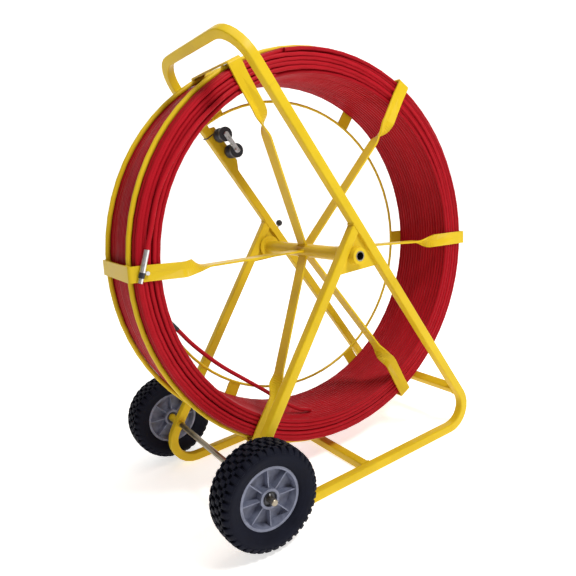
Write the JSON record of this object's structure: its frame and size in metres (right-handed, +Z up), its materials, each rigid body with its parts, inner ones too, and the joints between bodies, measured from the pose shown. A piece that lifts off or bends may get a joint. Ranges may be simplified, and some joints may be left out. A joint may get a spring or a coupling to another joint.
{
  "type": "fish tape reel",
  "caption": "Wheeled tube-frame reel of red duct rod with a yellow cage, a handle, guide rollers and block-tread wheels.",
  "frame": {"origin": "on the floor, directly below the reel's axis, in the middle between the side frames", "axes": "+Z up, Y along the reel's axis and the wheel axle, -X towards the wheels and the leaning handle"},
  "size_m": [1.1044, 0.704, 1.1931],
  "materials": {
    "yellow_paint": "gloss enamel over steel",
    "red_rod": "extruded jacket, semi-gloss",
    "steel": "plain oiled steel",
    "zinc": "zinc plated",
    "brass": "turned",
    "tyre_rubber": "moulded rubber",
    "rim_plastic": "moulded, grey-blue",
    "black_plastic": "moulded, black",
    "nylon": "natural nylon"
  },
  "bodies": {
    "stand": {"near_side_tube": "yellow_paint", "far_side_tube": "yellow_paint", "handle_bow": "yellow_paint", "rear_cross_tube": "yellow_paint", "mid_cross_tube": "yellow_paint", "near_hub_plate": "yellow_paint", "far_hub_plate": "yellow_paint", "near_hub_boss": "yellow_paint", "far_hub_boss": "yellow_paint", "guide_bracket": "yellow_paint", "brake_nut": "yellow_paint", "near_axle_spacer": "yellow_paint", "far_axle_spacer": "yellow_paint", "near_axle_collar": "yellow_paint", "far_axle_collar": "yellow_paint", "reel_shaft": "steel", "wheel_axle": "steel", "near_axle_washer": "black_plastic", "far_axle_washer": "black_plastic", "near_split_pin": "zinc", "far_split_pin": "zinc", "guide_link_plate": "zinc", "upper_guide_bolt": "zinc", "lower_guide_bolt": "zinc", "cable_tie": "black_plastic"},
    "reel": {"hub_tube": "yellow_paint", "hub_flange": "yellow_paint", "near_hub_bush": "nylon", "far_hub_bush": "nylon", "near_hoop": "yellow_paint", "far_hoop": "yellow_paint", "inner_ring": "yellow_paint", "rod_coil": "red_rod", "rod_outer_end": "red_rod", "rod_inner_end": "red_rod", "rod_ferrule": "zinc", "rod_clip_band": "black_plastic", "ferrule_nose": "zinc", "clip_bolt": "zinc", "inner_end_cap": "black_plastic", "cage_strap_1": "yellow_paint", "cage_strap_2": "yellow_paint", "cage_strap_3": "yellow_paint", "cage_strap_4": "yellow_paint", "cage_strap_5": "yellow_paint", "cage_strap_6": "yellow_paint"},
    "near_wheel": {"near_tyre": "tyre_rubber", "near_rim": "rim_plastic", "near_wheel_bush": "black_plastic"},
    "far_wheel": {"far_tyre": "tyre_rubber", "far_rim": "rim_plastic", "far_wheel_bush": "black_plastic"},
    "upper_roller": {"upper_guide_roller": "black_plastic"},
    "lower_roller": {"lower_guide_roller": "black_plastic"},
    "brake_lever": {"brake_screw": "zinc", "brake_arm": "zinc", "brake_knob": "black_plastic"},
    "brake_shoe": {"brake_pad": "brass"}
  },
  "joints": [
    {"name": "reel_spin", "type": "hinge", "parent": "stand", "child": "reel", "pos_m": [0, 0, 0.612], "axis": [0, 1, 0], "continuous": true},
    {"name": "near_wheel_spin", "type": "hinge", "parent": "stand", "child": "near_wheel", "pos_m": [-0.398, -0.3025, 0.138], "axis": [0, 1, 0], "continuous": true},
    {"name": "far_wheel_spin", "type": "hinge", "parent": "stand", "child": "far_wheel", "pos_m": [-0.398, 0.3025, 0.138], "axis": [0, 1, 0], "continuous": true},
    {"name": "upper_roller_spin", "type": "hinge", "parent": "stand", "child": "upper_roller", "pos_m": [-0.11342, 0.185, 0.97161], "axis": [0, 1, 0], "continuous": true},
    {"name": "lower_roller_spin", "type": "hinge", "parent": "stand", "child": "lower_roller", "pos_m": [-0.08537, 0.185, 0.92161], "axis": [0, 1, 0], "continuous": true},
    {"name": "brake_lever_turn", "type": "hinge", "parent": "stand", "child": "brake_lever", "pos_m": [0.0275, 0.2428, 0.6], "axis": [0, 1, 0], "range_deg": [0, 120]},
    {"name": "brake_shoe_travel", "type": "slide", "parent": "stand", "child": "brake_shoe", "axis": [0, 1, 0], "range_m": [-0.0004, 0]}
  ],
  "couplings": [
    {"joint": "brake_shoe_travel", "follows": "brake_lever_turn", "m_per_rad": -0.00019}
  ]
}
